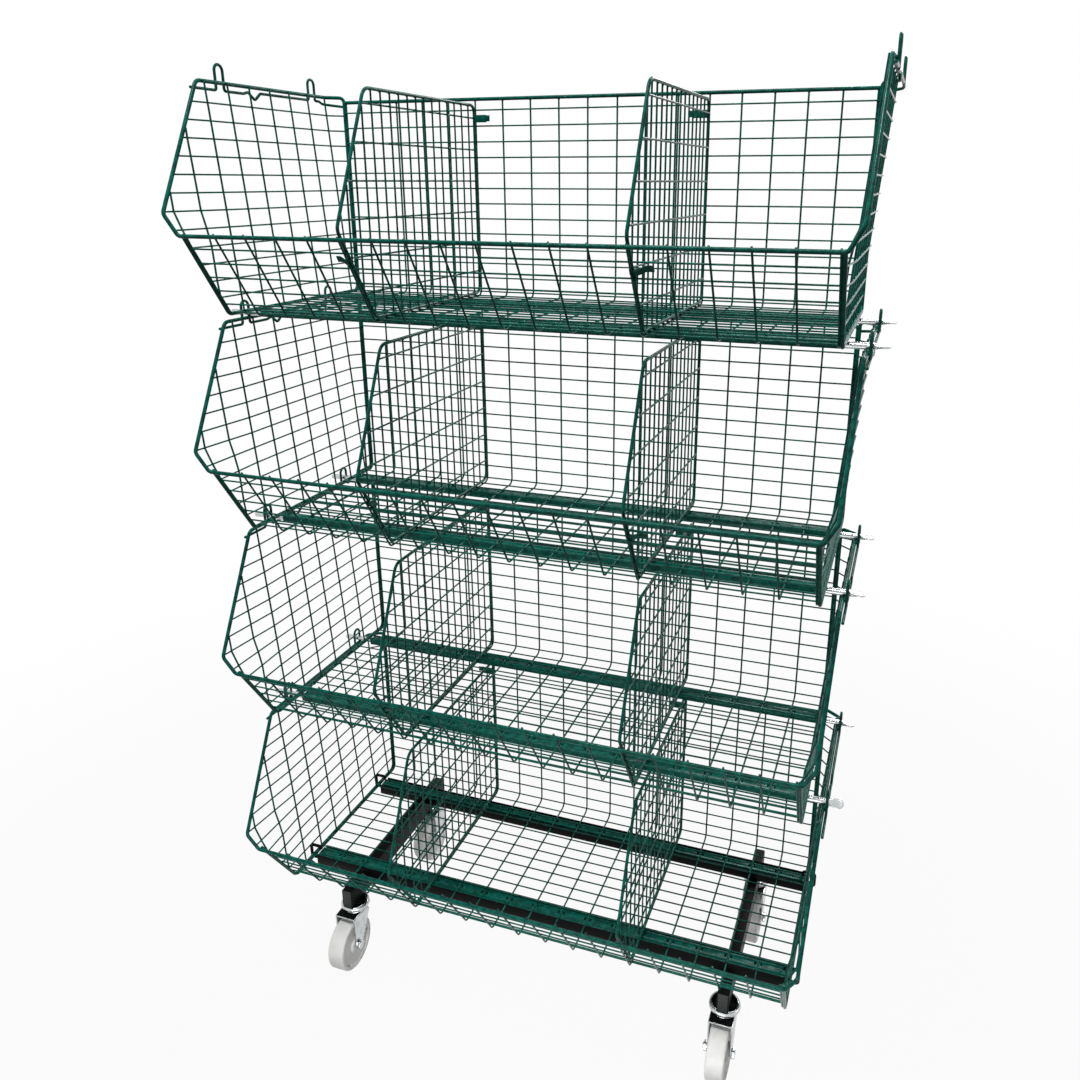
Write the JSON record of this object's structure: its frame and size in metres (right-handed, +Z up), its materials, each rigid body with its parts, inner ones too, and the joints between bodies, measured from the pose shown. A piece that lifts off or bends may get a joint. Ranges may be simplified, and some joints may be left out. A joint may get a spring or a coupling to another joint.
{
  "type": "wheeled stack of open-front wire display baskets",
  "caption": "Stacked open-front wire baskets with wire dividers, pinned together with locking rods, on a wheeled base with swivel castors",
  "frame": {"origin": "on the floor, at the middle of the overall box", "axes": "+Z up, +X to the object's right as seen from its open front, -Y towards the front"},
  "size_m": [1.036, 0.4804, 1.6093],
  "materials": {
    "green_coated_wire": "glossy dark green coating",
    "bright_zinc": "bright zinc plate",
    "black_painted_steel": "satin black paint",
    "black_plastic": "matt black plastic",
    "off_white_nylon": "satin off-white nylon"
  },
  "bodies": {
    "frame": {"basket_1_rim": "green_coated_wire", "basket_1_row_wires": "green_coated_wire", "basket_1_cross_wires": "green_coated_wire", "basket_1_side_left": "green_coated_wire", "basket_1_side_right": "green_coated_wire", "basket_1_channels": "green_coated_wire", "basket_2_rim": "green_coated_wire", "basket_2_row_wires": "green_coated_wire", "basket_2_cross_wires": "green_coated_wire", "basket_2_side_left": "green_coated_wire", "basket_2_side_right": "green_coated_wire", "basket_2_channels": "green_coated_wire", "basket_3_rim": "green_coated_wire", "basket_3_row_wires": "green_coated_wire", "basket_3_cross_wires": "green_coated_wire", "basket_3_side_left": "green_coated_wire", "basket_3_side_right": "green_coated_wire", "basket_3_channels": "green_coated_wire", "basket_4_rim": "green_coated_wire", "basket_4_row_wires": "green_coated_wire", "basket_4_cross_wires": "green_coated_wire", "basket_4_side_left": "green_coated_wire", "basket_4_side_right": "green_coated_wire", "basket_4_channels": "green_coated_wire", "base_tray_front": "black_painted_steel", "base_tray_rear": "black_painted_steel", "base_tube_left": "black_painted_steel", "base_tube_right": "black_painted_steel", "base_hooks": "black_painted_steel", "base_tube_caps": "black_plastic", "castor_head_front_left": "bright_zinc", "castor_head_front_right": "bright_zinc", "castor_head_rear_left": "bright_zinc", "castor_head_rear_right": "bright_zinc"},
    "swivel_front_left": {"castor_fork_front_left": "bright_zinc", "castor_axle_front_left": "bright_zinc"},
    "wheel_front_left": {"castor_wheel_front_left": "off_white_nylon"},
    "swivel_front_right": {"castor_fork_front_right": "bright_zinc", "castor_axle_front_right": "bright_zinc"},
    "wheel_front_right": {"castor_wheel_front_right": "off_white_nylon"},
    "swivel_rear_left": {"castor_fork_rear_left": "bright_zinc", "castor_axle_rear_left": "bright_zinc"},
    "wheel_rear_left": {"castor_wheel_rear_left": "off_white_nylon"},
    "swivel_rear_right": {"castor_fork_rear_right": "bright_zinc", "castor_axle_rear_right": "bright_zinc"},
    "wheel_rear_right": {"castor_wheel_rear_right": "off_white_nylon"},
    "locking_rod_1_front": {"rod_1_front": "bright_zinc"},
    "locking_rod_1_rear": {"rod_1_rear": "bright_zinc"},
    "locking_rod_2_front": {"rod_2_front": "bright_zinc"},
    "locking_rod_2_rear": {"rod_2_rear": "bright_zinc"},
    "locking_rod_3_front": {"rod_3_front": "bright_zinc"},
    "locking_rod_3_rear": {"rod_3_rear": "bright_zinc"},
    "divider_body_1_left": {"divider_1_left": "green_coated_wire"},
    "divider_body_1_right": {"divider_1_right": "green_coated_wire"},
    "divider_body_2_left": {"divider_2_left": "green_coated_wire"},
    "divider_body_2_right": {"divider_2_right": "green_coated_wire"},
    "divider_body_3_left": {"divider_3_left": "green_coated_wire"},
    "divider_body_3_right": {"divider_3_right": "green_coated_wire"},
    "divider_body_4_left": {"divider_4_left": "green_coated_wire"},
    "divider_body_4_right": {"divider_4_right": "green_coated_wire"}
  },
  "joints": [
    {"name": "swivel_turn_front_left", "type": "hinge", "parent": "frame", "child": "swivel_front_left", "pos_m": [-0.36, -0.11047, 0.1165], "axis": [0, 0, 1], "continuous": true},
    {"name": "wheel_roll_front_left", "type": "hinge", "parent": "swivel_front_left", "child": "wheel_front_left", "pos_m": [-0.36, -0.13947, 0.05], "axis": [1, 0, 0], "continuous": true},
    {"name": "swivel_turn_front_right", "type": "hinge", "parent": "frame", "child": "swivel_front_right", "pos_m": [0.36, -0.11047, 0.1165], "axis": [0, 0, 1], "continuous": true},
    {"name": "wheel_roll_front_right", "type": "hinge", "parent": "swivel_front_right", "child": "wheel_front_right", "pos_m": [0.36, -0.13947, 0.05], "axis": [1, 0, 0], "continuous": true},
    {"name": "swivel_turn_rear_left", "type": "hinge", "parent": "frame", "child": "swivel_rear_left", "pos_m": [-0.36, 0.21353, 0.1165], "axis": [0, 0, 1], "continuous": true},
    {"name": "wheel_roll_rear_left", "type": "hinge", "parent": "swivel_rear_left", "child": "wheel_rear_left", "pos_m": [-0.36, 0.18453, 0.05], "axis": [1, 0, 0], "continuous": true},
    {"name": "swivel_turn_rear_right", "type": "hinge", "parent": "frame", "child": "swivel_rear_right", "pos_m": [0.36, 0.21353, 0.1165], "axis": [0, 0, 1], "continuous": true},
    {"name": "wheel_roll_rear_right", "type": "hinge", "parent": "swivel_rear_right", "child": "wheel_rear_right", "pos_m": [0.36, 0.18453, 0.05], "axis": [1, 0, 0], "continuous": true},
    {"name": "rod_slide_1_front", "type": "slide", "parent": "frame", "child": "locking_rod_1_front", "axis": [1, 0, 0], "range_m": [0, 0.98]},
    {"name": "rod_slide_1_rear", "type": "slide", "parent": "frame", "child": "locking_rod_1_rear", "axis": [1, 0, 0], "range_m": [0, 0.98]},
    {"name": "rod_slide_2_front", "type": "slide", "parent": "frame", "child": "locking_rod_2_front", "axis": [1, 0, 0], "range_m": [0, 0.98]},
    {"name": "rod_slide_2_rear", "type": "slide", "parent": "frame", "child": "locking_rod_2_rear", "axis": [1, 0, 0], "range_m": [0, 0.98]},
    {"name": "rod_slide_3_front", "type": "slide", "parent": "frame", "child": "locking_rod_3_front", "axis": [1, 0, 0], "range_m": [0, 0.98]},
    {"name": "rod_slide_3_rear", "type": "slide", "parent": "frame", "child": "locking_rod_3_rear", "axis": [1, 0, 0], "range_m": [0, 0.98]},
    {"name": "divider_lift_1_left", "type": "slide", "parent": "frame", "child": "divider_body_1_left", "axis": [0, 0, 1], "range_m": [0, 0.012]},
    {"name": "divider_lift_1_right", "type": "slide", "parent": "frame", "child": "divider_body_1_right", "axis": [0, 0, 1], "range_m": [0, 0.012]},
    {"name": "divider_lift_2_left", "type": "slide", "parent": "frame", "child": "divider_body_2_left", "axis": [0, 0, 1], "range_m": [0, 0.012]},
    {"name": "divider_lift_2_right", "type": "slide", "parent": "frame", "child": "divider_body_2_right", "axis": [0, 0, 1], "range_m": [0, 0.012]},
    {"name": "divider_lift_3_left", "type": "slide", "parent": "frame", "child": "divider_body_3_left", "axis": [0, 0, 1], "range_m": [0, 0.012]},
    {"name": "divider_lift_3_right", "type": "slide", "parent": "frame", "child": "divider_body_3_right", "axis": [0, 0, 1], "range_m": [0, 0.012]},
    {"name": "divider_lift_4_left", "type": "slide", "parent": "frame", "child": "divider_body_4_left", "axis": [0, 0, 1], "range_m": [0, 0.33]},
    {"name": "divider_lift_4_right", "type": "slide", "parent": "frame", "child": "divider_body_4_right", "axis": [0, 0, 1], "range_m": [0, 0.33]}
  ]
}
